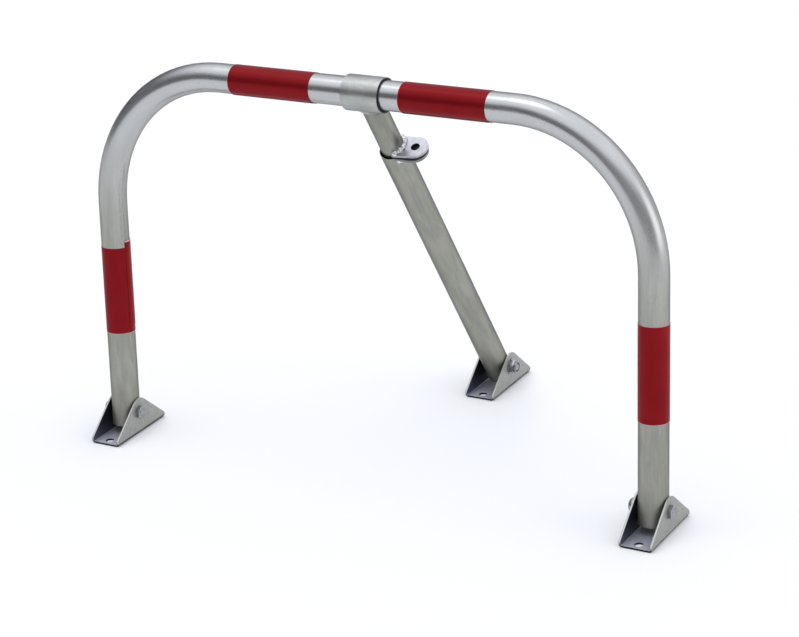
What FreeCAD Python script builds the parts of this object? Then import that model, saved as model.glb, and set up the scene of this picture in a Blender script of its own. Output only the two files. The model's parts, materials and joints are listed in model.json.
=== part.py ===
"""Folding parking space lock: a bent tube hoop on two foot brackets, held up by a stay on a third bracket.

Units are millimetres. +Z is up, +X runs along the width of the hoop and +Y points back, to the stay's foot.
The origin lies on the ground, halfway between the two pivots of the hoop.
"""
import FreeCAD, Part
import math
import os

Vector = FreeCAD.Vector

# Hoop tube
hoop_width = 626.0
hoop_overall_height = 416.0
hoop_bend_radius = 145.0
hoop_tube_diameter = 30.0
hoop_tube_wall = 2.0
hoop_lean = 5.4

# Stay: a stub hanging from a sleeve on the hoop, standing in the mouth of a tube that rises from the rear foot
stay_foot_distance = 250.0
stay_side_offset = 6.0
sleeve_length = 41.5
sleeve_wall = 2.2
sleeve_clearance = 0.7
sleeve_drop = 0.4
stay_tube_diameter = 28.8
stay_tube_wall = 0.9
stay_tube_mouth = 79.0
stub_diameter = 24.4
stub_wall = 2.0
stub_engagement = 12.0
stub_slack = 0.7

# Padlock lugs: two flat plates, one above the other and square to the stay, the upper one turned a little
lug_thickness = 3.0
lug_width = 26.0
lug_reach = 39.0
lug_root = 4.0
lug_gap = 1.0
lug_hole_diameter = 9.0
upper_lug_turn = 3.5

# Weld beads
weld_leg = 2.4
weld_end_margin = 0.3
sleeve_weld_leg = 3.6

# Reflective tapes wound round the hoop
left_leg_tape_length = 94.0
right_leg_tape_length = 97.0
top_tape_length = 95.5
tape_thickness = 0.35
leg_tape_height = 114.0
left_tape_outer_share = 0.334
right_tape_outer_share = 0.526
tape_overlap_angle = 55.0
left_leg_overlap_from = 347.0
left_leg_overlap_shift = 7.0
right_leg_overlap_from = 60.0
top_overlap_from = 150.0
neat_overlap_shift = 1.0

# Foot brackets, folded from sheet
pivot_height = 24.0
sheet_thickness = 2.0
bracket_side_play = 0.4
bracket_front = 42.0
bracket_back = 43.0
bracket_fold_radius = 3.5
ear_front_height = 6.0
ear_apex_back = 2.4
ear_apex_height = 42.7
ear_apex_radius = 12.5
ear_back_height = 5.4
ear_back_radius = 5.0
anchor_hole_diameter = 9.0
anchor_hole_spacing = 68.0
tube_end_below_pivot = 14.5

# Pivot bolts and nuts; the rear nut is a lock nut on a washer, with a ring in its collar that grips the thread
bolt_diameter = 8.0
running_clearance = 0.1
head_diameter = 16.0
head_height = 5.0
head_bevels = 3
nut_across_flats = 13.0
thin_nut_height = 4.0
thin_nut_tail = 0.6
lock_nut_height = 6.8
lock_nut_tail = 0.3
lock_hexagon_height = 4.6
nut_chamfer = 0.8
collar_diameter = 11.4
collar_chamfer = 0.5
insert_diameter = 9.8
insert_length = 1.8
insert_recess = 0.3
washer_diameter = 17.0
washer_thickness = 1.5

# Spare length on a blank before it is trimmed, and the slack for finding an edge by its place
blank_margin = 1.0
edge_margin = 0.1

# Sizes that follow from the ones above
hoop_radius = hoop_tube_diameter / 2
leg_x = hoop_width / 2
hoop_top = hoop_overall_height - hoop_radius
hoop_rise = hoop_top - pivot_height
ear_inner = hoop_radius + bracket_side_play
ear_outer = ear_inner + sheet_thickness
bolt_hole_radius = bolt_diameter / 2 + running_clearance
stay_tube_radius = stay_tube_diameter / 2
stub_radius = stub_diameter / 2
sleeve_bore = hoop_radius + sleeve_clearance
sleeve_radius = sleeve_bore + sleeve_wall
tape_radius = hoop_radius + tape_thickness
lug_end_x = lug_reach - lug_width / 2

# The sleeve's centre, and the line from it to the rear pivot
lean = math.radians(hoop_lean)
sleeve_y = hoop_rise * math.sin(lean)
sleeve_z = pivot_height + hoop_rise * math.cos(lean) - sleeve_drop
stay_span = math.hypot(stay_foot_distance - sleeve_y, sleeve_z - pivot_height)
stub_tilt = math.degrees(math.atan2(stay_foot_distance - sleeve_y, sleeve_z - pivot_height))
mouth_from_foot = stay_span - stay_tube_mouth
stay_tilt = stub_tilt + math.degrees(math.asin(stub_slack / mouth_from_foot))

X_AXIS = Vector(1, 0, 0)
Y_AXIS = Vector(0, 1, 0)
Z_AXIS = Vector(0, 0, 1)


def save(name, shape):
    """Write one piece to its own file."""
    shape.exportStep("parts/" + name + ".step")


def ring(outer_radius, inner_radius, length, start, axis):
    """A plain tube that starts at a point and runs along an axis."""
    outer = Part.makeCylinder(outer_radius, length, start, axis)
    return outer.cut(Part.makeCylinder(inner_radius, length, start, axis))


def leaned_back(shape):
    """Tip a piece of the upright hoop back about the pivots."""
    shape.rotate(Vector(0, 0, pivot_height), X_AXIS, -hoop_lean)
    return shape


def on_stub_line(shape):
    """Place a piece modelled with the sleeve's centre at the origin and the stub hanging down -Z."""
    shape.rotate(Vector(0, 0, 0), X_AXIS, stub_tilt)
    shape.translate(Vector(stay_side_offset, sleeve_y, sleeve_z))
    return shape


def on_stay_line(shape):
    """Place a piece modelled with the rear pivot at the origin and the stay tube rising along +Z."""
    shape.rotate(Vector(0, 0, 0), X_AXIS, stay_tilt)
    shape.translate(Vector(stay_side_offset, stay_foot_distance, pivot_height))
    return shape


def hoop_path():
    """The centreline of the upright hoop, foot to foot."""
    foot_z = pivot_height - tube_end_below_pivot
    shoulder_z = hoop_top - hoop_bend_radius
    crown_x = leg_x - hoop_bend_radius
    diagonal = hoop_bend_radius * math.sqrt(0.5)
    left_foot = Vector(-leg_x, 0, foot_z)
    left_shoulder = Vector(-leg_x, 0, shoulder_z)
    left_bend = Vector(-crown_x - diagonal, 0, shoulder_z + diagonal)
    left_crown = Vector(-crown_x, 0, hoop_top)
    right_crown = Vector(crown_x, 0, hoop_top)
    right_bend = Vector(crown_x + diagonal, 0, shoulder_z + diagonal)
    right_shoulder = Vector(leg_x, 0, shoulder_z)
    right_foot = Vector(leg_x, 0, foot_z)
    edges = [
        Part.LineSegment(left_foot, left_shoulder).toShape(),
        Part.Arc(left_shoulder, left_bend, left_crown).toShape(),
        Part.LineSegment(left_crown, right_crown).toShape(),
        Part.Arc(right_crown, right_bend, right_shoulder).toShape(),
        Part.LineSegment(right_shoulder, right_foot).toShape(),
    ]
    return Part.Wire(edges)


def swept_round(path, radius):
    """A round bar swept along the hoop's centreline."""
    start = Vector(-leg_x, 0, pivot_height - tube_end_below_pivot)
    circle = Part.Wire(Part.makeCircle(radius, start, Z_AXIS))
    return path.makePipe(Part.Face(circle))


def hoop_tube():
    """The bent tube, drilled through both feet for the pivot bolts."""
    path = hoop_path()
    tube = swept_round(path, hoop_radius).cut(swept_round(path, hoop_radius - hoop_tube_wall))
    for side in (-1, 1):
        start = Vector(side * leg_x - hoop_tube_diameter, 0, pivot_height)
        tube = tube.cut(Part.makeCylinder(bolt_hole_radius, 2 * hoop_tube_diameter, start, X_AXIS))
    return leaned_back(tube)


def tape_wrap(start, axis, length, overlap_from, shift):
    """One turn of tape with its end lapped over its start, the lapped end sitting a little out of line."""
    turn = ring(tape_radius, hoop_radius, length, start, axis)
    lap = ring(tape_radius + tape_thickness, hoop_radius, length, start + axis * shift, axis)
    wedge = Part.makeCylinder(2 * tape_radius, length, start + axis * shift, axis, tape_overlap_angle)
    wedge.rotate(start, axis, overlap_from)
    return turn.fuse(lap.common(wedge)).removeSplitter()


def leg_tape(side, length, overlap_from, shift):
    """The tape on one leg of the hoop."""
    start = Vector(side * leg_x, 0, leg_tape_height)
    return leaned_back(tape_wrap(start, Z_AXIS, length, overlap_from, shift))


def top_tape(side, outer_share):
    """The tape on the bare run between one end of the sleeve and the bend; the share is what stays bare outside."""
    bend_x = side * (leg_x - hoop_bend_radius)
    sleeve_end = stay_side_offset + side * sleeve_length / 2
    bare = abs(bend_x - sleeve_end) - top_tape_length
    outer_end = bend_x - side * outer_share * bare
    start = Vector(min(outer_end, outer_end - side * top_tape_length), 0, hoop_top)
    return leaned_back(tape_wrap(start, X_AXIS, top_tape_length, top_overlap_from, neat_overlap_shift))


def sleeve_outline(radius):
    """A bar of the sleeve's length, centred on the stub line's origin."""
    return Part.makeCylinder(radius, sleeve_length, Vector(-sleeve_length / 2, 0, 0), X_AXIS)


def top_sleeve():
    """The short sleeve that turns on the crown of the hoop."""
    return on_stub_line(sleeve_outline(sleeve_radius).cut(sleeve_outline(sleeve_bore)))


def stub_bar(radius):
    """A bar from the sleeve's centre down to the stub's lower end."""
    return Part.makeCylinder(radius, stay_tube_mouth + stub_engagement, Vector(0, 0, 0), Z_AXIS * -1)


def stay_stub():
    """The short tube welded under the sleeve, with its top coped to the sleeve."""
    tube = stub_bar(stub_radius).cut(stub_bar(stub_radius - stub_wall))
    return on_stub_line(tube.cut(sleeve_outline(sleeve_radius)))


def sleeve_weld():
    """The bevelled weld round the stub where it meets the sleeve."""
    joined = sleeve_outline(sleeve_radius).fuse(stub_bar(stub_radius))
    seam = []
    for edge in joined.Edges:
        box = edge.BoundBox
        on_stub = box.XLength > stub_radius / 2 and abs(box.Center.x) + box.XLength / 2 < stub_radius + edge_margin
        if on_stub and box.ZMin > -sleeve_radius - edge_margin and box.ZMax < 0:
            seam.append(edge)
    bead = joined.makeChamfer(sleeve_weld_leg, seam).cut(joined)
    return on_stub_line(bead)


def lug_plate(carrier_radius, under_z, turn):
    """A lug reaching out along +X, drilled at the centre of its round end, and then turned about its carrier."""
    end = Vector(lug_end_x, 0, under_z)
    bar = Part.makeBox(lug_end_x - lug_root, lug_width, lug_thickness, Vector(lug_root, -lug_width / 2, under_z))
    plate = bar.fuse(Part.makeCylinder(lug_width / 2, lug_thickness, end, Z_AXIS))
    plate = plate.cut(Part.makeCylinder(carrier_radius, lug_thickness, Vector(0, 0, under_z), Z_AXIS))
    plate = plate.cut(Part.makeCylinder(lug_hole_diameter / 2, lug_thickness, end, Z_AXIS)).removeSplitter()
    plate.rotate(Vector(0, 0, 0), Z_AXIS, turn)
    return plate


def lug_weld(carrier_radius, plate_z, upward, turn):
    """A bevelled bead that runs round the carrier on one face of its lug."""
    reach = carrier_radius + weld_leg
    half_angle = math.degrees(math.asin((lug_width / 2 - weld_end_margin) / reach))
    low = Vector(carrier_radius, 0, plate_z)
    out = Vector(reach, 0, plate_z)
    high = Vector(carrier_radius, 0, plate_z + upward * weld_leg)
    section = Part.Face(Part.makePolygon([low, out, high, low]))
    section.rotate(Vector(0, 0, 0), Z_AXIS, turn - half_angle)
    return section.revolve(Vector(0, 0, 0), Z_AXIS, 2 * half_angle)


def upper_lug():
    """The lug on the stub, just above the mouth of the stay tube."""
    return on_stub_line(lug_plate(stub_radius, lug_gap - stay_tube_mouth, upper_lug_turn))


def upper_lug_weld():
    """The bead on top of the upper lug."""
    return on_stub_line(lug_weld(stub_radius, lug_gap + lug_thickness - stay_tube_mouth, 1, upper_lug_turn))


def lower_lug():
    """The lug on the stay tube, its top face level with the mouth."""
    return on_stay_line(lug_plate(stay_tube_radius, mouth_from_foot - lug_thickness, 0))


def lower_lug_weld():
    """The bead under the lower lug."""
    return on_stay_line(lug_weld(stay_tube_radius, mouth_from_foot - lug_thickness, -1, 0))


def stay_tube():
    """The long tube of the stay, open at its mouth and drilled for the rear pivot bolt."""
    length = mouth_from_foot + tube_end_below_pivot
    start = Vector(0, 0, -tube_end_below_pivot)
    tube = ring(stay_tube_radius, stay_tube_radius - stay_tube_wall, length, start, Z_AXIS)
    drill_start = Vector(-stay_tube_diameter, 0, 0)
    tube = tube.cut(Part.makeCylinder(bolt_hole_radius, 2 * stay_tube_diameter, drill_start, X_AXIS))
    return on_stay_line(tube)


def rounded_outline(corners, radii, point):
    """A closed face through corners in a plane, each corner rounded by its own radius; 0 leaves it sharp."""
    starts = []
    ends = []
    edges = []
    count = len(corners)
    for index in range(count):
        here = Vector(corners[index][0], corners[index][1], 0)
        before = Vector(corners[index - 1][0], corners[index - 1][1], 0)
        after = Vector(corners[(index + 1) % count][0], corners[(index + 1) % count][1], 0)
        back = (before - here).normalize()
        onward = (after - here).normalize()
        half = back.getAngle(onward) / 2
        setback = radii[index] / math.tan(half)
        starts.append(here + back * setback)
        ends.append(here + onward * setback)
        if radii[index] > 0:
            centre = here + (back + onward).normalize() * (radii[index] / math.sin(half))
            middle = centre + (here - centre).normalize() * radii[index]
            edges.append(Part.Arc(point(starts[-1]), point(middle), point(ends[-1])).toShape())
    for index in range(count):
        edges.append(Part.LineSegment(point(ends[index]), point(starts[(index + 1) % count])).toShape())
    return Part.Face(Part.Wire(Part.__sortEdges__(edges)))


def foot_bracket(x, y):
    """A bracket folded to a U, its two ears cut to a slope in front and behind the pivot."""
    top = ear_apex_height + blank_margin
    inner_radius = bracket_fold_radius - sheet_thickness
    u_corners = [(-ear_outer, 0), (ear_outer, 0), (ear_outer, top), (ear_inner, top),
                 (ear_inner, sheet_thickness), (-ear_inner, sheet_thickness), (-ear_inner, top), (-ear_outer, top)]
    u_radii = [bracket_fold_radius, bracket_fold_radius, 0, 0, inner_radius, inner_radius, 0, 0]
    u_face = rounded_outline(u_corners, u_radii, lambda p: Vector(p.x, -bracket_front, p.y))
    channel = u_face.extrude(Y_AXIS * (bracket_front + bracket_back))
    ear_corners = [(-bracket_front, 0), (bracket_back, 0), (bracket_back, ear_back_height),
                   (ear_apex_back, ear_apex_height), (-bracket_front, ear_front_height)]
    ear_radii = [0, 0, ear_back_radius, ear_apex_radius, 0]
    ear_face = rounded_outline(ear_corners, ear_radii, lambda p: Vector(-ear_outer, p.x, p.y))
    bracket = channel.common(ear_face.extrude(X_AXIS * (2 * ear_outer)))
    for side in (-1, 1):
        anchor = Vector(0, side * anchor_hole_spacing / 2, 0)
        bracket = bracket.cut(Part.makeCylinder(anchor_hole_diameter / 2, sheet_thickness, anchor, Z_AXIS))
    pivot = Vector(-ear_outer, 0, pivot_height)
    bracket = bracket.cut(Part.makeCylinder(bolt_hole_radius, 2 * ear_outer, pivot, X_AXIS))
    bracket.translate(Vector(x, y, 0))
    return bracket


def at_pivot(shape, x, y):
    """Place a fastener modelled with its foot's pivot at the origin."""
    shape.translate(Vector(x, y, pivot_height))
    return shape


def bolt_head():
    """A dome of straight bevels against the outer face of the -X ear."""
    head_radius = head_diameter / 2
    dome_radius = (head_radius ** 2 + head_height ** 2) / (2 * head_height)
    rim_angle = math.asin(head_radius / dome_radius)
    outline = [Vector(-ear_outer, 0, 0)]
    for step in range(head_bevels + 1):
        angle = rim_angle * (1 - step / head_bevels)
        rise = dome_radius * math.cos(angle) - dome_radius + head_height
        outline.append(Vector(-ear_outer - rise, 0, dome_radius * math.sin(angle)))
    return Part.Face(Part.makePolygon(outline + outline[:1])).revolve(Vector(0, 0, 0), X_AXIS, 360)


def pivot_bolt(nut_stack, tail):
    """A dome-headed bolt through both ears, head at -X, that reaches past its nut by its tail."""
    length = 2 * ear_outer + nut_stack + tail
    shank = Part.makeCylinder(bolt_diameter / 2, length, Vector(-ear_outer, 0, 0), X_AXIS)
    tip = [edge for edge in shank.Edges if edge.BoundBox.XMin > length - ear_outer - edge_margin]
    return shank.makeChamfer(bolt_diameter / 10, tip).fuse(bolt_head()).removeSplitter()


def hexagon_bar(start_x, height):
    """A hexagon bar along +X with its corners taken off at both ends."""
    circumradius = nut_across_flats / math.sqrt(3)
    corners = []
    for index in range(7):
        angle = math.radians(60 * index + 30)
        corners.append(Vector(start_x, circumradius * math.cos(angle), circumradius * math.sin(angle)))
    bar = Part.Face(Part.makePolygon(corners)).extrude(X_AXIS * height)
    turned = Part.makeCylinder(circumradius, height, Vector(start_x, 0, 0), X_AXIS)
    return bar.common(turned.makeChamfer(nut_chamfer, [turned.Edges[0], turned.Edges[2]]))


def thin_nut():
    """A thin hexagon nut against the +X ear."""
    bore = Part.makeCylinder(bolt_diameter / 2, thin_nut_height, Vector(ear_outer, 0, 0), X_AXIS)
    return hexagon_bar(ear_outer, thin_nut_height).cut(bore)


def rear_pivot_washer():
    """The flat washer under the lock nut."""
    return ring(washer_diameter / 2, bolt_hole_radius, washer_thickness, Vector(ear_outer, 0, 0), X_AXIS)


def lock_nut():
    """A hexagon nut with a round collar, recessed for its gripping ring."""
    start = Vector(ear_outer + washer_thickness, 0, 0)
    collar = Part.makeCylinder(collar_diameter / 2, lock_nut_height, start, X_AXIS)
    rim = [edge for edge in collar.Edges if edge.BoundBox.XMin > start.x + lock_nut_height / 2]
    nut = hexagon_bar(start.x, lock_hexagon_height).fuse(collar.makeChamfer(collar_chamfer, rim))
    recess_start = start + X_AXIS * (lock_nut_height - insert_recess - insert_length)
    recess = Part.makeCylinder(insert_diameter / 2, insert_recess + insert_length, recess_start, X_AXIS)
    bore = Part.makeCylinder(bolt_diameter / 2, lock_nut_height, start, X_AXIS)
    return nut.cut(recess).cut(bore).removeSplitter()


def rear_nut_insert():
    """The ring in the lock nut's collar that grips the thread."""
    start = Vector(ear_outer + washer_thickness + lock_nut_height - insert_recess - insert_length, 0, 0)
    return ring(insert_diameter / 2, bolt_diameter / 2, insert_length, start, X_AXIS)


def save_front_foot(name, x):
    """One front foot: its bracket, bolt and thin nut."""
    save(name + "_foot_bracket", foot_bracket(x, 0))
    save(name + "_pivot_bolt", at_pivot(pivot_bolt(thin_nut_height, thin_nut_tail), x, 0))
    save(name + "_pivot_nut", at_pivot(thin_nut(), x, 0))


def save_rear_foot(x, y):
    """The rear foot: its bracket, bolt, washer and lock nut."""
    save("rear_foot_bracket", foot_bracket(x, y))
    save("rear_pivot_bolt", at_pivot(pivot_bolt(washer_thickness + lock_nut_height, lock_nut_tail), x, y))
    save("rear_pivot_washer", at_pivot(rear_pivot_washer(), x, y))
    save("rear_pivot_nut", at_pivot(lock_nut(), x, y))
    save("rear_nut_insert", at_pivot(rear_nut_insert(), x, y))


def main():
    os.makedirs("parts", exist_ok=True)
    save("hoop_tube", hoop_tube())
    save("left_leg_tape", leg_tape(-1, left_leg_tape_length, left_leg_overlap_from, left_leg_overlap_shift))
    save("right_leg_tape", leg_tape(1, right_leg_tape_length, right_leg_overlap_from, neat_overlap_shift))
    save("left_top_tape", top_tape(-1, left_tape_outer_share))
    save("right_top_tape", top_tape(1, right_tape_outer_share))
    save("top_sleeve", top_sleeve())
    save("stay_stub", stay_stub())
    save("sleeve_weld", sleeve_weld())
    save("upper_lug", upper_lug())
    save("upper_lug_weld", upper_lug_weld())
    save("stay_tube", stay_tube())
    save("lower_lug", lower_lug())
    save("lower_lug_weld", lower_lug_weld())
    save_front_foot("left", -leg_x)
    save_front_foot("right", leg_x)
    save_rear_foot(stay_side_offset, stay_foot_distance)


main()
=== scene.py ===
"""Finishes, weld beads, bolts and the studio for the folding parking space lock."""
import json
import math

import bpy
from mathutils import Matrix, Vector


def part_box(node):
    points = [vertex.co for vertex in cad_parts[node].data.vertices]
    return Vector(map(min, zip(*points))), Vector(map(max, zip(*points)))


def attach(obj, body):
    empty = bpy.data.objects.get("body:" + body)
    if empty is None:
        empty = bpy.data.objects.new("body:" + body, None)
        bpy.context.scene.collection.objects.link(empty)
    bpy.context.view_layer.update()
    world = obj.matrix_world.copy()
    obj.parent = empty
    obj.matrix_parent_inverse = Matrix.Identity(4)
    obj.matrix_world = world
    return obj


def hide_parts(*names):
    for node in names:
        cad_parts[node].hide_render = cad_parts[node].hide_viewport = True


bl_info = {
    "name": "Parking Space Lock Finish",
    "version": (1, 0, 0),
    "blender": (4, 5, 0),
    "location": "View3D > Sidebar > Lock",
    "description": "Galvanised steel, reflective tape, weld beads and bolts for a folding parking space lock",
    "category": "Object",
}

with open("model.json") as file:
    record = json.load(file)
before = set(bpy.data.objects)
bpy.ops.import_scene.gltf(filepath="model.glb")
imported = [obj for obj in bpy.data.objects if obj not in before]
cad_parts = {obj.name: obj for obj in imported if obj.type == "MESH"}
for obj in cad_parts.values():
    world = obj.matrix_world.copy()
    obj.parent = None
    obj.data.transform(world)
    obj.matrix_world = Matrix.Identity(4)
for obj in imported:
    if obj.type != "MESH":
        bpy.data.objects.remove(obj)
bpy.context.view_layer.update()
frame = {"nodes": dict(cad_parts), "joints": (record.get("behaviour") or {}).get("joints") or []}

JOINT_PLACE = {joint["name"]: Vector(joint["pos_m"]) for joint in frame["joints"]}
HOOP_PIVOT = JOINT_PLACE["hoop_fold"]
CROWN = JOINT_PLACE["sleeve_swivel"]
REAR_PIVOT = JOINT_PLACE["stay_fold"]
HOOP_LEAN = math.atan2(CROWN.y - HOOP_PIVOT.y, CROWN.z - HOOP_PIVOT.z)
FEET = ("left", "right", "rear")

# The sleeve's drop under the crown, the stub's lean in the stay, and the stay's start below the sleeve
SLEEVE_DROP = 0.0004
STUB_SLACK = 0.0007
STUB_MOUTH = 0.079
SLEEVE_CENTRE = Vector((REAR_PIVOT.x, CROWN.y, CROWN.z - SLEEVE_DROP))
STUB_TILT = math.atan2(REAR_PIVOT.y - SLEEVE_CENTRE.y, SLEEVE_CENTRE.z - REAR_PIVOT.z)
MOUTH_HEIGHT = (SLEEVE_CENTRE - REAR_PIVOT).length - STUB_MOUTH
STAY_TILT = STUB_TILT + math.asin(STUB_SLACK / MOUTH_HEIGHT)
STUB_FRAME = Matrix.Translation(SLEEVE_CENTRE) @ Matrix.Rotation(STUB_TILT, 4, "X")
STAY_FRAME = Matrix.Translation(REAR_PIVOT) @ Matrix.Rotation(STAY_TILT, 4, "X")

# The gap between the padlock lugs, their holes, and the turn of the upper one about the stub
LUG_GAP = 0.001
LUG_HOLE_REACH = 0.026
LUG_HOLE_RADIUS = 0.0045
UPPER_LUG_TURN = math.radians(3.5)

# How far each lug's weld runs to either side, and the random seed of its ripples
UPPER_WELD_HALF = math.radians(56)
LOWER_WELD_HALF = math.radians(45)
UPPER_SEED = 4
LOWER_SEED = 5

# Steps along a seam, the bead's place out from the corner by its radius, and a ripple's length by the pitch
SEAM_STEPS = 40
BEAD_OFFSET = 0.3
RIPPLE_OVERLAP = 1.2

# Segments and rings of the ball that each ripple is made from
RIPPLE_SEGMENTS = 18
RIPPLE_RINGS = 12

# Segments round a turned solid, steps up the curve of a dome, and the angle from which an edge is sharp
LATHE_STEPS = 64
DOME_STEPS = 14
SHARP_ANGLE = math.radians(32)

# The curved part of a head's height, the flat of its top by its radius, and a shank's radius by its bevel
DOME_SHARE = 0.7
DOME_FLAT = 0.2
BEVEL_PARTS = 5

# Height above the pivots where the legs' darker zinc gives way to the crown's lighter copy of it, painted as
# overhead light, and half the change's width
LEG_TOP = 0.245
LEG_BLEND = 0.10

# Height above the pivots below which the tubes are rougher, half the change's width, and how much rougher
FOOT_TOP = 0.03
FOOT_BLEND = 0.03
FOOT_ROUGHNESS = 0.30

# How far inside a tube's outer surface its bore and cut end start to be painted dark, as painted shade
BORE_SHADE_RIM = 0.0004

# How metallic the tubes are, how much less so over their painted-shade bores and cut ends, and the tint of
# their glancing shine
TUBE_METALLIC = 0.93
CUT_METALLIC_LOSS = 0.9
TUBE_TINT = (0.35, 0.35, 0.35, 1.0)

# How much closer together the sleeve's patterns are along it
SLEEVE_CLOSENESS = 3.5

# The pale line at the cut ends of the tape, half the width of its blend, and the tint of the film's shine
TAPE_EDGE = 0.0003
TAPE_EDGE_BLEND = 0.0002
FILM_TINT = (0.5, 0.3, 0.32, 1.0)

# Heights on a bracket, each with half its change's width: top of the painted shadow along the foot, start of
# the painted highlights on the ears' edges
FOOT_SHADOW_LINE = (0.0028, 0.0008)
EAR_EDGE_HIGHLIGHT = (0.0045, 0.001)

# The painted gleam of light low on the ears' inner faces: its height at the middle, how it falls to the back,
# and its spread
GLEAM_HEIGHT = 0.012
GLEAM_FALL = 0.45
GLEAM_SPREAD = 0.016

# How far outside its edge a hole or inner face still counts, half the width of that blend, and how much
# colour is left in a hole's painted shade and in a bracket's painted foot shadow
FACE_MARGIN = 0.0002
FACE_BLEND = 0.0001
DEEP_SHADE = 0.03

# The sleeve's weld against the legs' zinc
SLEEVE_WELD_SHADE = 1.05

# Where the studio's walls give way to each other along a unit direction, and half the width of each change
NEAR_SPLIT = (-0.15, 0.30)
FAR_SPLIT = (-0.30, 0.35)
LEFT_SPLIT = (-0.74, 0.14)
GLOW_SPLIT = (0.82, 0.14)
GLOW_DEPTH = (-0.12, 0.22)
OVERHEAD_SPLIT = (0.56, 0.20)
LAMP_DIRECTION = (-0.30, -0.05, 0.9)

# Half the width of the floor, and how far it lies below the feet
FLOOR_REACH = 12.0
FLOOR_DROP = 0.0002

# The camera's sensor in millimetres, and how far it sees
SENSOR_WIDTH = 36.0
VIEW_REACH = 50.0


def colour_setting(name, description, default, top=1.0):
    """A colour or light level."""
    return bpy.props.FloatVectorProperty(
        name=name, description=description, subtype="COLOR", size=3, min=0, max=top, default=default)


def length_setting(name, description, default):
    """A length in metres."""
    return bpy.props.FloatProperty(name=name, description=description, unit="LENGTH", default=default)


def share_setting(name, description, default, top=1.0):
    """A share from nothing to a top value."""
    return bpy.props.FloatProperty(
        name=name, description=description, subtype="FACTOR", min=0, max=top, default=default)


def angle_setting(name, description, degrees):
    """An angle, given here in degrees."""
    return bpy.props.FloatProperty(
        name=name, description=description, subtype="ANGLE", default=math.radians(degrees))


class TubeSizes(bpy.types.PropertyGroup):
    """The sizes of the tubes and sheet that the finishes and welds follow."""

    tube_radius: length_setting("Hoop tube radius", "Outer radius of the hoop tube", 0.015)
    bend_radius: length_setting(
        "Bend radius", "Radius of the hoop's two bends, at the tube's centreline", 0.145)
    sleeve_radius: length_setting("Sleeve radius", "Outer radius of the sleeve on the crown", 0.0179)
    stub_radius: length_setting("Stub radius", "Outer radius of the stub under the sleeve", 0.0122)
    stay_radius: length_setting("Stay radius", "Outer radius of the stay tube", 0.0144)
    sheet: length_setting("Sheet thickness", "Thickness of the folded brackets", 0.002)
    lug: length_setting("Lug thickness", "Thickness of the two padlock lugs", 0.003)


class SteelLook(bpy.types.PropertyGroup):
    """Colours of the metals, some painted lighter or darker as painted light and shade, and of the ring in
    the lock nut.
    """

    # The crown is the legs' zinc painted lighter, as painted overhead light
    crown_lit_colour: colour_setting("Crown", "Galvanised tube along the top of the hoop", (0.50, 0.505, 0.50))
    leg_colour: colour_setting("Legs", "Galvanised tube on the legs and the stay", (0.335, 0.335, 0.290))
    sleeve_colour: colour_setting("Sleeve", "Duller zinc on the sleeve", (0.455, 0.462, 0.44))
    # Painted shade in bores and on cut ends
    bore_shade_colour: colour_setting("Cut ends", "Bores and cut ends that zinc didn't reach", (0.012, 0.012, 0.014))
    sheet_colour: colour_setting("Sheet", "Zinc on the outside of the folded brackets", (0.400, 0.407, 0.378))
    # Painted shade on the ears' inner faces
    sheet_inside_shade: colour_setting("Sheet inside", "Dull inner faces of the ears", (0.028, 0.031, 0.042))
    # The base plate's top is the sheet's zinc painted lighter and bluer, as painted light
    sheet_base_lit: colour_setting("Sheet base", "Top of the base plate between the ears", (0.60, 0.61, 0.69))
    lug_colour: colour_setting("Upper lug", "Bright zinc on the upper lug", (0.50, 0.51, 0.54))
    # The lower lug is the lugs' zinc painted darker, as painted shade under the upper one
    lower_lug_shade_colour: colour_setting("Lower lug", "Duller zinc on the lower lug", (0.24, 0.24, 0.245))
    fastener_colour: colour_setting(
        "Fasteners", "Zinc plate on bolts, nuts and the washer", (0.33, 0.335, 0.35))
    weld_colour: colour_setting("Weld", "Weld beads on the lugs", (0.64, 0.645, 0.65))
    nylon_colour: colour_setting("Nylon", "The ring in the lock nut", (0.02, 0.02, 0.024))


class SteelRoughness(bpy.types.PropertyGroup):
    """How rough each metal is at its smoothest, and how deep the scuffs in the plate are."""

    hoop: share_setting("Hoop", "Roughness of the hoop tube", 0.16)
    stay: share_setting("Stay", "Roughness of the stay tube and the stub", 0.22)
    sleeve: share_setting("Sleeve", "Roughness of the sleeve", 0.24)
    nut: share_setting("Nuts", "Roughness of the nuts and the washer", 0.14)
    bolt: share_setting("Bolts", "Roughness of the bolts", 0.16)
    lug: share_setting("Lugs", "Roughness of the padlock lugs", 0.3)
    sleeve_weld: share_setting("Sleeve weld", "Roughness of the weld under the sleeve", 0.3)
    lug_weld: share_setting("Lug welds", "Roughness of the beads on the lugs", 0.16)
    fastener_scuffs: share_setting("Fastener scuffs", "Depth of the scuffs on nuts and bolts", 0.12)
    lug_scuffs: share_setting("Lug scuffs", "Depth of the scuffs on the lugs", 0.4)


class TapeLook(bpy.types.PropertyGroup):
    """Colours of the reflective tape."""

    film_colour: colour_setting("Film", "Dark red film", (0.240, 0.0085, 0.0120))
    film_shade: colour_setting("Film shade", "Darker patches in the film", (0.203, 0.0070, 0.0100))
    edge_colour: colour_setting("Cut edge", "Pale backing that shows along the cut ends", (0.62, 0.45, 0.45))


class WeldSizes(bpy.types.PropertyGroup):
    """Sizes of the weld ripples on the lugs."""

    ripple_pitch: length_setting("Ripple pitch", "From one ripple to the next", 0.0024)
    bead_radius: length_setting("Bead", "Radius of the beads", 0.0031)
    unevenness: share_setting("Unevenness", "How much the ripples differ in size", 0.26, top=0.5)


class BoltSizes(bpy.types.PropertyGroup):
    """Sizes of the dome-headed pivot bolts."""

    head_radius: length_setting("Head radius", "Radius of the dome heads", 0.008)
    front_head: length_setting("Front head height", "Height of the two front dome heads", 0.008)
    rear_head: length_setting("Rear head height", "Height of the rear dome head", 0.005)
    shank_radius: length_setting("Shank radius", "Radius of the shanks", 0.004)


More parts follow.
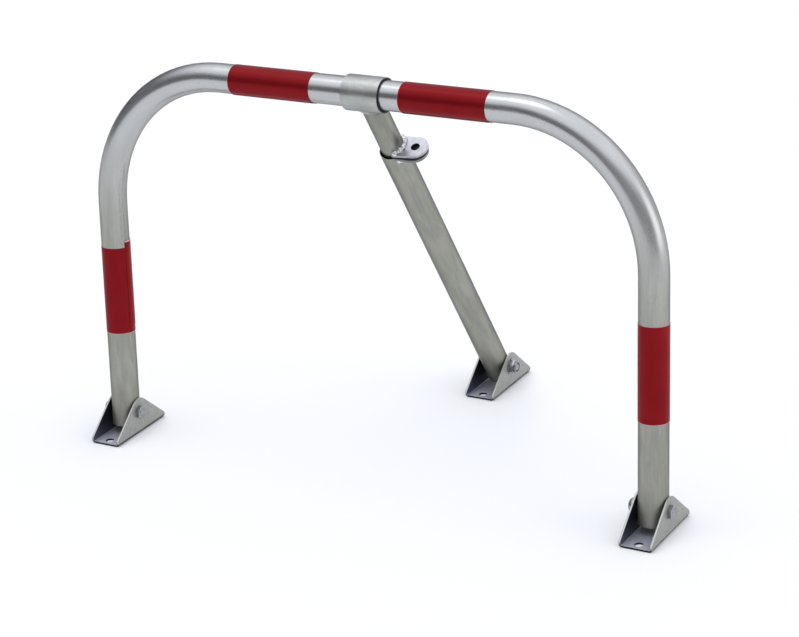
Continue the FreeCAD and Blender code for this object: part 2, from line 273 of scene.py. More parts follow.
class StudioLook(bpy.types.PropertyGroup):
    """Levels of the studio's walls, its overhead light, its lamp and its floor."""

    near_left: colour_setting("Near left", "Near wall, towards -X", (0.12, 0.12, 0.13))
    near_right: colour_setting("Near right", "Near wall, towards +X", (0.36, 0.36, 0.38))
    far_wall: colour_setting("Far wall", "Wall behind the object", (0.74, 0.75, 0.78))
    left_wall: colour_setting("Left wall", "Dim wall at -X", (0.17, 0.175, 0.20))
    right_glow: colour_setting("Right glow", "Soft light at +X", (2.0, 2.03, 2.12), top=4.0)
    overhead: colour_setting("Overhead", "Soft light from above", (1.24, 1.27, 1.36), top=4.0)
    lamp_strength: share_setting("Lamp", "Strength of the overhead lamp", 0.26)
    lamp_width: angle_setting("Lamp width", "Width of the overhead lamp in the sky", 28)
    floor_shade: share_setting("Floor", "Shade of the pale floor", 0.93)


class CameraPlace(bpy.types.PropertyGroup):
    """The camera of the reference view."""

    place: bpy.props.FloatVectorProperty(
        name="Place", description="Camera position", subtype="TRANSLATION", unit="LENGTH", size=3,
        default=(1.27899, -1.94192, 1.12855))
    azimuth: angle_setting("Azimuth", "Turn from looking along +Y towards -X", 32.450)
    elevation: angle_setting("Elevation", "Angle looked down", 22.359)
    roll: angle_setting("Roll", "Turn of the picture", -4.703)
    focal_share: bpy.props.FloatProperty(
        name="Focal length over width", description="Focal length as a multiple of the picture's width",
        default=3.16466)


SETTINGS = {
    "lock_tubes": TubeSizes,
    "lock_steel": SteelLook,
    "lock_roughness": SteelRoughness,
    "lock_tape": TapeLook,
    "lock_welds": WeldSizes,
    "lock_bolts": BoltSizes,
    "lock_studio": StudioLook,
    "lock_camera": CameraPlace,
}


class Signal:
    """A node's output that can be used in Python sums; each sum adds a Math node."""

    def __init__(self, maker, socket):
        self.maker = maker
        self.socket = socket

    def math(self, operation, *others):
        terms = dict(enumerate((self, *others)))
        return self.maker.node("ShaderNodeMath", {"operation": operation}, terms)[0]

    def __add__(self, other):
        return self.math("ADD", other)

    __radd__ = __add__

    def __sub__(self, other):
        return self.math("SUBTRACT", other)

    def __rsub__(self, other):
        return self.maker.node("ShaderNodeMath", {"operation": "SUBTRACT"}, {0: other, 1: self})[0]

    def __mul__(self, other):
        return self.math("MULTIPLY", other)

    def __pow__(self, other):
        return self.math("POWER", other)

    def __abs__(self):
        return self.math("ABSOLUTE")

    def above(self, level, softness):
        """0 below a level, 1 above it, with a soft step that reaches softness to either side."""
        settings = {"interpolation_type": "SMOOTHSTEP"}
        sources = {"Value": self, "From Min": level - softness, "From Max": level + softness}
        return self.maker.node("ShaderNodeMapRange", settings, sources)[0]


class Outputs:
    """The outputs of one node, by position, identifier or name."""

    def __init__(self, maker, node):
        self.maker = maker
        self.node = node

    def __getitem__(self, key):
        return Signal(self.maker, NodeMaker.find(self.node.outputs, key))


class NodeMaker:
    """Adds nodes to a tree: settings first, then a value or a link for each named input."""

    def __init__(self, tree):
        self.tree = tree

    @staticmethod
    def find(sockets, key):
        if isinstance(key, int):
            return sockets[key]
        for socket in sockets:
            if socket.identifier == key:
                return socket
        return sockets[key]

    def feed(self, socket, value):
        if isinstance(value, Signal):
            self.tree.links.new(value.socket, socket)
        else:
            socket.default_value = value

    def node(self, kind, settings=None, sources=None):
        made = self.tree.nodes.new(kind)
        for key, value in (settings or {}).items():
            setattr(made, key, value)
        for key, value in (sources or {}).items():
            self.feed(self.find(made.inputs, key), value)
        return Outputs(self, made)

    def parts(self, vector):
        """The X, Y and Z of a vector."""
        split = self.node("ShaderNodeSeparateXYZ", None, {"Vector": vector})
        return split["X"], split["Y"], split["Z"]

    def joined(self, x, y, z):
        return self.node("ShaderNodeCombineXYZ", None, {"X": x, "Y": y, "Z": z})[0]

    def blend(self, factor, low, high):
        """A mix of two colours."""
        low = low if isinstance(low, Signal) else (*low, 1.0)
        high = high if isinstance(high, Signal) else (*high, 1.0)
        sources = {"Factor_Float": factor, "A_Color": low, "B_Color": high}
        return self.node("ShaderNodeMix", {"data_type": "RGBA"}, sources)["Result_Color"]

    def mottled(self, mask, colour, darkest, lightest):
        """A colour that goes from one share of itself to another."""
        return self.blend(mask, shaded(colour, darkest), shaded(colour, lightest))


class Paint(NodeMaker):
    """A material built round a Principled shader."""

    def __init__(self, name):
        self.material = bpy.data.materials.new(name)
        self.material.use_nodes = True
        super().__init__(self.material.node_tree)
        self.shader = self.tree.nodes["Principled BSDF"]

    def object_place(self):
        return self.node("ShaderNodeTexCoord")["Object"]

    def from_origin(self, origin, turn=0.0):
        """Object place measured from an origin, and turned about X."""
        sources = {0: self.object_place(), 1: origin}
        moved = self.node("ShaderNodeVectorMath", {"operation": "SUBTRACT"}, sources)[0]
        sources = {"Vector": moved, "Rotation": (turn, 0, 0)}
        return self.node("ShaderNodeMapping", {"vector_type": "POINT"}, sources)[0]

    def noise(self, vector, scale, detail, roughness, distortion=0.0):
        sources = {"Vector": vector, "Scale": scale, "Detail": detail, "Roughness": roughness,
                   "Distortion": distortion}
        return self.node("ShaderNodeTexNoise", {"noise_dimensions": "3D"}, sources)["Fac"]

    def cells(self, vector, scale):
        """A value for each crystal cell."""
        sources = {"Vector": vector, "Scale": scale}
        cell = self.node("ShaderNodeTexVoronoi", {"feature": "F1"}, sources)["Color"]
        return self.node("ShaderNodeSeparateColor", None, {"Color": cell})[0]

    def bump(self, height, distance, strength):
        sources = {"Height": height, "Distance": distance, "Strength": strength}
        return self.node("ShaderNodeBump", None, sources)["Normal"]

    def finish(self, **inputs):
        """Set or link the shader's inputs; underscores stand for spaces."""
        for key, value in inputs.items():
            self.feed(self.shader.inputs[key.replace("_", " ")], value)
        return self.material


def shaded(colour, share):
    """A colour made darker or lighter by a share."""
    return tuple(share * channel for channel in colour)


def coat(node, material):
    """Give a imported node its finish."""
    slots = frame["nodes"][node].data.materials
    slots.clear()
    slots.append(material)


def near_foot(height):
    """1 at the foot of a tube, 0 above it."""
    return 1 - height.above(FOOT_TOP, FOOT_BLEND)


def painted_bore_shade(radius, outer_radius):
    """0 on a tube's outer surface, 1 in its bore and over its cut ends, where painted shade goes."""
    return 1 - radius.above(outer_radius - BORE_SHADE_RIM, BORE_SHADE_RIM / 4)


def hoop_coordinates(paint, sizes):
    """On the hoop: places across, deep and along the tube, and masks for its crown painted lighter as painted
    light, its painted bore shade (none here) and its foot.
    """
    x, depth, height = paint.parts(paint.from_origin(HOOP_PIVOT, HOOP_LEAN))
    crown_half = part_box("hoop_tube")[1].x - sizes.tube_radius - sizes.bend_radius
    shoulder = (CROWN - HOOP_PIVOT).length - sizes.bend_radius
    outward = abs(x) - crown_half
    upward = height - shoulder
    out_part = outward.math("MAXIMUM", 0.0)
    up_part = upward.math("MAXIMUM", 0.0)
    reach = (out_part * out_part + up_part * up_part) ** 0.5
    angle = up_part.math("ARCTAN2", out_part)
    along = angle * sizes.bend_radius + upward.math("MINIMUM", 0.0) - outward.math("MINIMUM", 0.0)
    return reach, depth, along * x.math("SIGN"), height.above(LEG_TOP, LEG_BLEND), None, near_foot(height)


def round_bar_coordinates(paint, origin, turn, outer_radius):
    """On a straight tube along Z: its three places, and its lit crown (none here), painted bore shade and
    foot masks.
    """
    x, y, z = paint.parts(paint.from_origin(origin, turn))
    radius = (x * x + y * y) ** 0.5
    return x, y, z, None, painted_bore_shade(radius, outer_radius), near_foot(abs(z))


def sleeve_coordinates(paint, outer_radius):
    """On the sleeve: its three places, and its lit crown (none here), painted bore shade and foot (nowhere)
    masks.
    """
    x, y, z = paint.parts(paint.from_origin(SLEEVE_CENTRE))
    radius = (y * y + z * z) ** 0.5
    return y, z, x * SLEEVE_CLOSENESS, None, painted_bore_shade(radius, outer_radius), 0.0


def galvanised(name, look, low_colour, lit_crown_colour, roughness, coordinates):
    """Zinc-coated tube: soft cloudy patches, fine streaks along the tube and faint pits, with painted shade
    in bores and on cut ends and, on the hoop, a crown painted lighter as painted overhead light.
    """
    paint = Paint(name)
    across, depth, along, high, cut, foot = coordinates(paint)

    def pattern(scale_across, scale_along, **settings):
        """Noise drawn out along the tube."""
        place = paint.joined(across * scale_across, depth * scale_across, along * scale_along)
        return paint.noise(place, scale=1.0, **settings)

    streak = pattern(1100.0, 40.0, detail=3.0, roughness=0.6)
    cloud = pattern(80.0, 16.0, detail=6.0, roughness=0.62, distortion=0.5)
    speck = pattern(800.0, 500.0, detail=2.0, roughness=0.5)
    patch = (streak * 0.30 + cloud * 0.70).above(level=0.5, softness=0.15)
    metal = paint.mottled(patch, low_colour, darkest=0.82, lightest=1.10)
    # On the hoop the crown gets a lighter copy of the zinc, as painted light from overhead
    if high is not None:
        bright = paint.mottled(patch, lit_crown_colour, darkest=0.95, lightest=1.03)
        metal = paint.blend(high, metal, bright)
    metallic = TUBE_METALLIC
    # Bores and cut ends are painted near-black and less metallic, as painted shade
    if cut is not None:
        metal = paint.blend(cut, metal, look.bore_shade_colour)
        metallic = TUBE_METALLIC - cut * CUT_METALLIC_LOSS
    relief = streak * 0.5 + speck * 0.3 + cloud * 0.8
    normal = paint.bump(relief, distance=0.00008, strength=0.35)
    rough = streak * 0.08 + cloud * 0.12 + foot * FOOT_ROUGHNESS + roughness
    return paint.finish(
        Base_Color=metal, Metallic=metallic, Roughness=rough, Specular_Tint=TUBE_TINT, Normal=normal)


def tape_film(name, look, middle, half, along_leg):
    """Reflective film: dark red with a metallic depth, and a thin pale line at each cut end."""
    paint = Paint(name)
    leaned = paint.from_origin(HOOP_PIVOT, HOOP_LEAN)
    x, _, height = paint.parts(leaned)
    along = height if along_leg else x
    patch = paint.noise(leaned, scale=30.0, detail=3.0, roughness=0.5).above(level=0.5, softness=0.25)
    fine = paint.noise(leaned, scale=1200.0, detail=2.0, roughness=0.5)
    film = paint.blend(patch, look.film_shade, look.film_colour)
    edge = abs(along - middle).above(half - TAPE_EDGE, TAPE_EDGE_BLEND)
    return paint.finish(
        Base_Color=paint.blend(edge, film, look.edge_colour), Metallic=0.42, Roughness=0.26 + fine * 0.08,
        Specular_IOR_Level=0.2, Specular_Tint=FILM_TINT,
        Normal=paint.bump(fine, distance=0.00002, strength=0.2))


def bracket_zinc(name, look, sheet, centre, ear_inner):
    """Folded sheet with grainy zinc, with painted shade on the ears' inner faces, a painted gleam low on
    them, a base plate painted lighter, a painted shadow along its lowest edge and painted highlights on the
    ears' edges.
    """
    paint = Paint(name)
    place = paint.from_origin(centre)
    x, y, z = paint.parts(place)
    crystal = paint.cells(place, scale=900.0)
    grain = paint.noise(place, scale=1300.0, detail=3.0, roughness=0.6)
    cloud = paint.noise(place, scale=110.0, detail=4.0, roughness=0.6)
    mix = (crystal * 0.3 + grain * 0.35 + cloud * 0.5).above(level=0.58, softness=0.25)
    outside = paint.mottled(mix, look.sheet_colour, darkest=0.78, lightest=1.06)
    # A painted shadow along the bracket's lowest edge
    outside = paint.blend(z.above(*FOOT_SHADOW_LINE), shaded(look.sheet_colour, DEEP_SHADE), outside)
    # A painted highlight along the ears' edges
    edge = 1 - abs(x).above(ear_inner + sheet * 0.9, sheet * 0.04)
    outside = paint.blend(edge * z.above(*EAR_EDGE_HIGHLIGHT), outside, shaded(look.sheet_colour, 1.45))
    # Painted shade on the ears' inner faces, with a painted gleam of light low towards the front
    gleam = (GLEAM_HEIGHT - z - y * GLEAM_FALL).above(GLEAM_SPREAD, GLEAM_SPREAD)
    inside = paint.mottled(gleam, look.sheet_inside_shade, darkest=1.0, lightest=5.0)
    # The base plate painted lighter and bluer than the outside, as painted light
    floor_plate = paint.mottled(mix, look.sheet_base_lit, darkest=0.8, lightest=1.0)
    inside = paint.blend(z.above(sheet * 1.15, sheet * 0.1), floor_plate, inside)
    # Between the ears and above the plate, the painted shade, the painted gleam and the lighter plate take
    # over
    between = 1 - abs(x).above(ear_inner + FACE_MARGIN, FACE_BLEND)
    above_plate = z.above(sheet * 0.9, sheet * 0.05)
    colour = paint.blend(between * above_plate, outside, inside)
    return paint.finish(
        Base_Color=colour, Metallic=0.72, Roughness=0.44 + grain * 0.14 + cloud * 0.08,
        Specular_IOR_Level=0.3, Normal=paint.bump(grain + crystal * 0.5, distance=0.00005, strength=0.4))


def plated(name, colour, roughness, scuff_strength, hole=None):
    """Zinc plate with faint scuffs and dull patches, and painted shade in a hole if there is one.

    hole is the origin and turn of the plate's carrier, the hole's place on the plate, and its radius.
    """
    paint = Paint(name)
    place = paint.object_place()
    scuff = paint.noise(place, scale=600.0, detail=4.0, roughness=0.65)
    cloud = paint.noise(place, scale=160.0, detail=3.0, roughness=0.5)
    metal = paint.mottled(cloud.above(level=0.5, softness=0.25), colour, darkest=0.80, lightest=1.08)
    if hole is not None:
        origin, turn, spot, radius = hole
        x, y, _ = paint.parts(paint.from_origin(origin, turn))
        reach = ((x - spot[0]) * (x - spot[0]) + (y - spot[1]) * (y - spot[1])) ** 0.5
        # The hole's wall is painted near-black as shade
        metal = paint.blend(reach.above(radius + FACE_MARGIN, FACE_BLEND), shaded(colour, DEEP_SHADE), metal)
    return paint.finish(
        Base_Color=metal, Metallic=0.94, Roughness=roughness + scuff * 0.18,
        Normal=paint.bump(scuff, distance=0.00006, strength=scuff_strength))


def weld_finish(name, colour, roughness):
    """Galvanised weld metal: blotchy, with a rough skin."""
    paint = Paint(name)
    place = paint.object_place()
    blotch = paint.noise(place, scale=380.0, detail=4.0, roughness=0.6)
    skin = paint.noise(place, scale=1500.0, detail=3.0, roughness=0.6)
    metal = paint.mottled(blotch.above(level=0.5, softness=0.15), colour, darkest=0.70, lightest=1.20)
    return paint.finish(
        Base_Color=metal, Metallic=0.9, Roughness=roughness + skin * 0.2,
        Normal=paint.bump(skin + blotch, distance=0.00015, strength=0.5))


def nylon(name, colour):
    """Dull moulded nylon with a fine grain."""
    paint = Paint(name)
    grain = paint.noise(paint.object_place(), scale=2500.0, detail=3.0, roughness=0.6)
    return paint.finish(
        Base_Color=paint.mottled(grain, colour, darkest=0.8, lightest=1.3), Roughness=0.45 + grain * 0.2,
        Specular_IOR_Level=0.2, Normal=paint.bump(grain, distance=0.00003, strength=0.3))


def ripple_tree():
    """A tree that sets a row of uneven ripples along a path of edges."""
    tree = bpy.data.node_groups.new("weld_ripples", "GeometryNodeTree")
    tree.interface.new_socket(name="Geometry", in_out="OUTPUT", socket_type="NodeSocketGeometry")
    for name, kind in (("Geometry", "Geometry"), ("Ripple Count", "Int"), ("Bead Radius", "Float"),
                       ("Ripple Length", "Float"), ("Unevenness", "Float"), ("Seed", "Int"),
                       ("Finish", "Material")):
        tree.interface.new_socket(name=name, in_out="INPUT", socket_type="NodeSocket" + kind)
    maker = NodeMaker(tree)
    given = maker.node("NodeGroupInput")
    path = maker.node("GeometryNodeMeshToCurve", None, {"Mesh": given["Geometry"]})["Curve"]
    sources = {"Curve": path, "Count": given["Ripple Count"]}
    spots = maker.node("GeometryNodeResampleCurve", None, sources)["Curve"]
    sources = {"Segments": RIPPLE_SEGMENTS, "Rings": RIPPLE_RINGS, "Radius": 1.0}
    ball = maker.node("GeometryNodeMeshUVSphere", None, sources)["Mesh"]
    tangent = maker.node("GeometryNodeInputTangent")[0]
    turn = maker.node("FunctionNodeAlignRotationToVector", {"axis": "Z"}, {"Vector": tangent})["Rotation"]
    spread = given["Unevenness"]
    limits = {"Min_001": 1 - spread, "Max_001": 1 + spread, "Seed": given["Seed"]}
    size = maker.node("FunctionNodeRandomValue", {"data_type": "FLOAT"}, limits)["Value_001"]
    radius = given["Bead Radius"] * size
    scale = maker.joined(radius, radius, given["Ripple Length"] * size)
    sources = {"Points": spots, "Instance": ball, "Rotation": turn, "Scale": scale}
    row = maker.node("GeometryNodeInstanceOnPoints", None, sources)["Instances"]
    solid = maker.node("GeometryNodeRealizeInstances", None, {"Geometry": row})["Geometry"]
    smooth = maker.node("GeometryNodeSetShadeSmooth", None, {"Geometry": solid})["Geometry"]
    sources = {"Geometry": smooth, "Material": given["Finish"]}
    done = maker.node("GeometryNodeSetMaterial", None, sources)["Geometry"]
    maker.node("NodeGroupOutput", None, {"Geometry": done})
    return tree


def ripple_bead(name, path, sizes, seed, finish):
    """One weld bead as a plain mesh, its ripples set along a path."""
    edges = [(index, index + 1) for index in range(len(path) - 1)]
    line = bpy.data.meshes.new(name + "_path")
    line.from_pydata(path, edges, [])
    holder = bpy.data.objects.new(name + "_path", line)
    bpy.context.scene.collection.objects.link(holder)
    length = sum((path[a] - path[b]).length for a, b in edges)
    tree = bpy.data.node_groups.get("weld_ripples") or ripple_tree()
    modifier = holder.modifiers.new("ripples", "NODES")
    modifier.node_group = tree
    values = {"Ripple Count": round(length / sizes.ripple_pitch), "Bead Radius": sizes.bead_radius,
              "Ripple Length": sizes.ripple_pitch * RIPPLE_OVERLAP, "Unevenness": sizes.unevenness,
              "Seed": seed, "Finish": finish}
    for socket in tree.interface.items_tree:
        if socket.in_out == "INPUT" and socket.name in values:
            modifier[socket.identifier] = values[socket.name]
    holder.update_tag()
    plain = bpy.data.meshes.new_from_object(holder.evaluated_get(bpy.context.evaluated_depsgraph_get()))
    bpy.data.objects.remove(holder)
    bead = bpy.data.objects.new(name, plain)
    bpy.context.scene.collection.objects.link(bead)
    return bead


def lug_seam(offset, carrier_frame, carrier_radius, height, upward, turn, half_angle):
    """The arc round a carrier on one face of its lug, moved out of the corner by an offset."""
    radius = carrier_radius + offset
    points = []
    for step in range(SEAM_STEPS + 1):
        angle = turn + half_angle * (2 * step / SEAM_STEPS - 1)
        spot = Vector((radius * math.cos(angle), radius * math.sin(angle), height + upward * offset))
        points.append(carrier_frame @ spot)
    return points


def lathe(name, profile, place, material):
    """A solid of revolution about X from a profile of (length along X, radius)."""
    corners = []
    rings = []
    for length, radius in profile:
        if radius == 0:
            rings.append([len(corners)] * LATHE_STEPS)
            corners.append((place.x + length, place.y, place.z))
            continue
        rings.append(list(range(len(corners), len(corners) + LATHE_STEPS)))
        for step in range(LATHE_STEPS):
            angle = math.tau * step / LATHE_STEPS
            y = place.y + radius * math.cos(angle)
            z = place.z + radius * math.sin(angle)
            corners.append((place.x + length, y, z))
    faces = []
    for near, far in zip(rings, rings[1:]):
        for step in range(LATHE_STEPS):
            after = (step + 1) % LATHE_STEPS
            faces.append(tuple(dict.fromkeys((near[step], near[after], far[after], far[step]))))
    mesh = bpy.data.meshes.new(name)
    mesh.from_pydata(corners, [], faces)
    mesh.materials.append(material)
    mesh.shade_smooth()
    mesh.set_sharp_from_angle(angle=SHARP_ANGLE)
    piece = bpy.data.objects.new(name, mesh)
    bpy.context.scene.collection.objects.link(piece)
    return piece


def dome_bolt(node, ear, head_height, sizes, material):
    """A bolt with a smooth dome head against the -X ear, in the place of a packed one."""
    low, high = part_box(node)
    place = Vector((ear - head_height, (low.y + high.y) / 2, (low.z + high.z) / 2))
    crown_height = head_height * DOME_SHARE
    flat = sizes.head_radius * DOME_FLAT
    profile = [(0, 0)]
    for step in range(DOME_STEPS + 1):
        angle = math.pi / 2 * step / DOME_STEPS
        length = crown_height * (1 - math.cos(angle))
        profile.append((length, flat + (sizes.head_radius - flat) * math.sin(angle)))
    profile.append((head_height, sizes.head_radius))
    reach = high.x - place.x
    bevel = sizes.shank_radius / BEVEL_PARTS
    profile += [(head_height, sizes.shank_radius), (reach - bevel, sizes.shank_radius),
                (reach, sizes.shank_radius - bevel), (reach, 0)]
    return lathe(node + "_dome", profile, place, material)


class LOCK_OT_finish_hoop(bpy.types.Operator):
    """Galvanise the bent hoop tube"""

    bl_idname = "lock.finish_hoop"
    bl_label = "Hoop Tube"

    def execute(self, context):
        look = context.scene.lock_steel
        sizes = context.scene.lock_tubes
        roughness = context.scene.lock_roughness.hoop
        coat("hoop_tube", galvanised("hoop_galvanised", look, look.leg_colour, look.crown_lit_colour, roughness,
                                     lambda paint: hoop_coordinates(paint, sizes)))
        return {"FINISHED"}


class LOCK_OT_finish_stay(bpy.types.Operator):
    """Galvanise the stay tube, the stub and the sleeve"""

    bl_idname = "lock.finish_stay"
    bl_label = "Stay and Sleeve"

    def execute(self, context):
        look = context.scene.lock_steel
        sizes = context.scene.lock_tubes
        roughness = context.scene.lock_roughness
        for node, origin, tilt, radius in (("stay_tube", REAR_PIVOT, STAY_TILT, sizes.stay_radius),
                                           ("stay_stub", SLEEVE_CENTRE, STUB_TILT, sizes.stub_radius)):
            finish = galvanised(node + "_galvanised", look, look.leg_colour, None, roughness.stay,
                                lambda paint: round_bar_coordinates(paint, origin, -tilt, radius))
            coat(node, finish)
        coat("top_sleeve", galvanised("sleeve_galvanised", look, look.sleeve_colour, None, roughness.sleeve,
                                      lambda paint: sleeve_coordinates(paint, sizes.sleeve_radius)))
        return {"FINISHED"}


class LOCK_OT_finish_tapes(bpy.types.Operator):
    """Colour the four turns of reflective tape"""

    bl_idname = "lock.finish_tapes"
    bl_label = "Reflective Tapes"

    def execute(self, context):
        look = context.scene.lock_tape
        tube = context.scene.lock_tubes.tube_radius
        for side in ("left", "right"):
            low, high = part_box(side + "_top_tape")
            coat(side + "_top_tape",
                 tape_film(side + "_top_film", look, (low.x + high.x) / 2, (high.x - low.x) / 2, False))
            low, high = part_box(side + "_leg_tape")
            middle = (low.z + high.z) / 2 - HOOP_PIVOT.z
            half = (high.z - low.z) / 2 - tube * math.sin(HOOP_LEAN)
            coat(side + "_leg_tape", tape_film(
                side + "_leg_film", look, middle / math.cos(HOOP_LEAN), half / math.cos(HOOP_LEAN), True))
        return {"FINISHED"}


class LOCK_OT_finish_feet(bpy.types.Operator):
    """Give the folded brackets their grainy zinc, and the nuts their plate"""

    bl_idname = "lock.finish_feet"
    bl_label = "Feet and Nuts"

    def execute(self, context):
        look = context.scene.lock_steel
        sheet = context.scene.lock_tubes.sheet
        roughness = context.scene.lock_roughness
        plate = plated("nut_plate", look.fastener_colour, roughness.nut, roughness.fastener_scuffs)
        for foot in FEET:
            bracket = foot + "_foot_bracket"
            low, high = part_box(bracket)
            centre = ((low.x + high.x) / 2, (low.y + high.y) / 2, 0)
            ear_inner = (high.x - low.x) / 2 - sheet
            coat(bracket, bracket_zinc(foot + "_bracket_zinc", look, sheet, centre, ear_inner))
            coat(foot + "_pivot_nut", plate)
        coat("rear_pivot_washer", plate)
        coat("rear_nut_insert", nylon("lock_nut_nylon", look.nylon_colour))
        return {"FINISHED"}


class LOCK_OT_make_bolts(bpy.types.Operator):
    """Put smooth dome heads on the three pivot bolts"""

    bl_idname = "lock.make_bolts"
    bl_label = "Pivot Bolts"

    def execute(self, context):
        sizes = context.scene.lock_bolts
        roughness = context.scene.lock_roughness
        colour = context.scene.lock_steel.fastener_colour
        plate = plated("bolt_plate", colour, roughness.bolt, roughness.fastener_scuffs)
        for foot in FEET:
            node = foot + "_pivot_bolt"
            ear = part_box(foot + "_foot_bracket")[0].x
            head_height = sizes.rear_head if foot == "rear" else sizes.front_head
            bolt = dome_bolt(node, ear, head_height, sizes, plate)
            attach(bolt, "base")
            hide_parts(node)
        return {"FINISHED"}


class LOCK_OT_finish_lugs(bpy.types.Operator):
    """Plate the two padlock lugs"""

    bl_idname = "lock.finish_lugs"
    bl_label = "Padlock Lugs"

    def execute(self, context):
        look = context.scene.lock_steel
        roughness = context.scene.lock_roughness
        # The lower lug's colour is painted shade, and each hole's wall is painted dark as shade
        for node, colour, origin, tilt, turn in (
                ("upper_lug", look.lug_colour, SLEEVE_CENTRE, STUB_TILT, UPPER_LUG_TURN),
                ("lower_lug", look.lower_lug_shade_colour, REAR_PIVOT, STAY_TILT, 0.0)):
            spot = (LUG_HOLE_REACH * math.cos(turn), LUG_HOLE_REACH * math.sin(turn))
            hole = (origin, -tilt, spot, LUG_HOLE_RADIUS)
            coat(node, plated(node + "_plate", colour, roughness.lug, roughness.lug_scuffs, hole))
        return {"FINISHED"}


class LOCK_OT_make_welds(bpy.types.Operator):
    """Finish the sleeve's weld, and lay rippled beads where the lugs are welded on"""

    bl_idname = "lock.make_welds"
    bl_label = "Welds"

    def execute(self, context):
        tubes = context.scene.lock_tubes
        welds = context.scene.lock_welds
        look = context.scene.lock_steel
        roughness = context.scene.lock_roughness
        sleeve_weld = shaded(look.leg_colour, SLEEVE_WELD_SHADE)
        coat("sleeve_weld", weld_finish("sleeve_weld_skin", sleeve_weld, roughness.sleeve_weld))
        bright = weld_finish("lug_weld_skin", look.weld_colour, roughness.lug_weld)
        for node, body, seed, *seam in (
                ("upper_lug_weld", "sleeve", UPPER_SEED, STUB_FRAME, tubes.stub_radius,
                 tubes.lug + LUG_GAP - STUB_MOUTH, 1, UPPER_LUG_TURN, UPPER_WELD_HALF),
                ("lower_lug_weld", "stay", LOWER_SEED, STAY_FRAME, tubes.stay_radius,
                 MOUTH_HEIGHT - tubes.lug, -1, 0.0, LOWER_WELD_HALF)):
            path = lug_seam(welds.bead_radius * BEAD_OFFSET, *seam)
            bead = ripple_bead(node + "_ripples", path, welds, seed, bright)
            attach(bead, body)
            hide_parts(node)
        return {"FINISHED"}


def pale_floor(shade):
    """A wide pale floor under the feet."""
    reach = FLOOR_REACH
    corners = [(-reach, -reach, 0), (reach, -reach, 0), (reach, reach, 0), (-reach, reach, 0)]
    mesh = bpy.data.meshes.new("floor")
    mesh.from_pydata(corners, [], [(0, 1, 2, 3)])
    floor = bpy.data.objects.new("floor", mesh)
    floor.location.z = -FLOOR_DROP
    bpy.context.scene.collection.objects.link(floor)
    mesh.materials.append(Paint("floor_paint").finish(
        Base_Color=(shade, shade, shade, 1.0), Roughness=0.9, Specular_IOR_Level=0.0))


def studio_world(look):
    """Soft light from overhead, behind and the right, with dim walls low on the near and left sides."""
    world = bpy.data.worlds.new("studio")
    world.use_nodes = True
    maker = NodeMaker(world.node_tree)
    x, y, z = maker.parts(maker.node("ShaderNodeTexCoord")["Generated"])
    near = maker.blend(x.above(*NEAR_SPLIT), look.near_left, look.near_right)
    walls = maker.blend(y.above(*FAR_SPLIT), near, look.far_wall)
    walls = maker.blend(x.above(*LEFT_SPLIT), look.left_wall, walls)
    walls = maker.blend(x.above(*GLOW_SPLIT) * y.above(*GLOW_DEPTH), walls, look.right_glow)
    colour = maker.blend(z.above(*OVERHEAD_SPLIT), walls, look.overhead)
    maker.feed(world.node_tree.nodes["Background"].inputs["Color"], colour)
    bpy.context.scene.world = world


def soft_sun(direction, angle, strength):
    """A broad overhead lamp, so far off that it lights the floor evenly."""
    lamp = bpy.data.lights.new("soft_sun", "SUN")
    lamp.angle = angle
    lamp.energy = strength
    holder = bpy.data.objects.new("soft_sun", lamp)
    holder.rotation_euler = Vector(direction).to_track_quat("Z", "Y").to_euler()
    bpy.context.scene.collection.objects.link(holder)


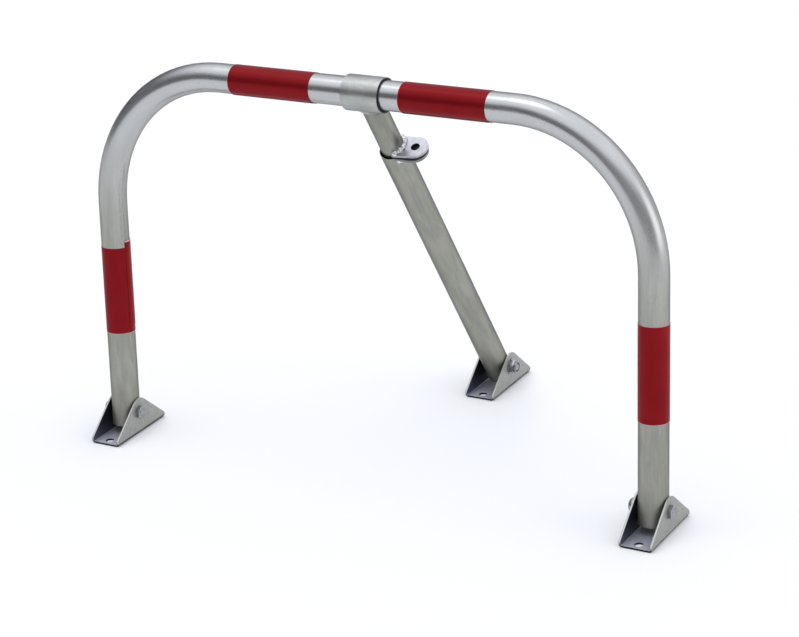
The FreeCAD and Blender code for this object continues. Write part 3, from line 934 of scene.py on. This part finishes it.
def reference_camera(settings):
    """The camera at the picture's place, turned by azimuth, elevation and roll."""
    azimuth = settings.azimuth
    elevation = settings.elevation
    roll = settings.roll
    ahead = Vector((-math.sin(azimuth) * math.cos(elevation), math.cos(azimuth) * math.cos(elevation),
                    -math.sin(elevation)))
    right = Vector((math.cos(azimuth), math.sin(azimuth), 0))
    up = right.cross(ahead)
    rolled_right = right * math.cos(roll) + up * math.sin(roll)
    rolled_up = up * math.cos(roll) - right * math.sin(roll)
    turn = Matrix((rolled_right, rolled_up, -ahead)).transposed()
    lens = bpy.data.cameras.new("reference_camera")
    lens.sensor_width = SENSOR_WIDTH
    lens.lens = lens.sensor_width * settings.focal_share
    lens.clip_end = VIEW_REACH
    holder = bpy.data.objects.new("reference_camera", lens)
    holder.matrix_world = Matrix.Translation(settings.place) @ turn.to_4x4()
    bpy.context.scene.collection.objects.link(holder)
    bpy.context.scene.camera = holder


class LOCK_OT_stage(bpy.types.Operator):
    """Set up the pale floor, the soft light and the camera"""

    bl_idname = "lock.stage"
    bl_label = "Studio"

    def execute(self, context):
        studio = context.scene.lock_studio
        pale_floor(studio.floor_shade)
        studio_world(studio)
        soft_sun(LAMP_DIRECTION, studio.lamp_width, studio.lamp_strength)
        reference_camera(context.scene.lock_camera)
        context.scene.view_settings.view_transform = "Standard"
        return {"FINISHED"}


STEPS = [
    LOCK_OT_finish_hoop,
    LOCK_OT_finish_stay,
    LOCK_OT_finish_tapes,
    LOCK_OT_finish_feet,
    LOCK_OT_make_bolts,
    LOCK_OT_finish_lugs,
    LOCK_OT_make_welds,
    LOCK_OT_stage,
]


class LOCK_PT_steps(bpy.types.Panel):
    """The steps that dress the lock"""

    bl_idname = "LOCK_PT_steps"
    bl_label = "Parking Space Lock"
    bl_space_type = "VIEW_3D"
    bl_region_type = "UI"
    bl_category = "Lock"

    def draw(self, context):
        for step in STEPS:
            self.layout.operator(step.bl_idname)


def register():
    for settings in SETTINGS.values():
        bpy.utils.register_class(settings)
    for step in STEPS:
        bpy.utils.register_class(step)
    bpy.utils.register_class(LOCK_PT_steps)
    for name, settings in SETTINGS.items():
        setattr(bpy.types.Scene, name, bpy.props.PointerProperty(type=settings))


def unregister():
    for name in SETTINGS:
        delattr(bpy.types.Scene, name)
    bpy.utils.unregister_class(LOCK_PT_steps)
    for step in reversed(STEPS):
        bpy.utils.unregister_class(step)
    for settings in SETTINGS.values():
        bpy.utils.unregister_class(settings)


def main():
    register()
    for step in STEPS:
        group, action = step.bl_idname.split(".")
        getattr(getattr(bpy.ops, group), action)()


if __name__ == "__main__":
    main()
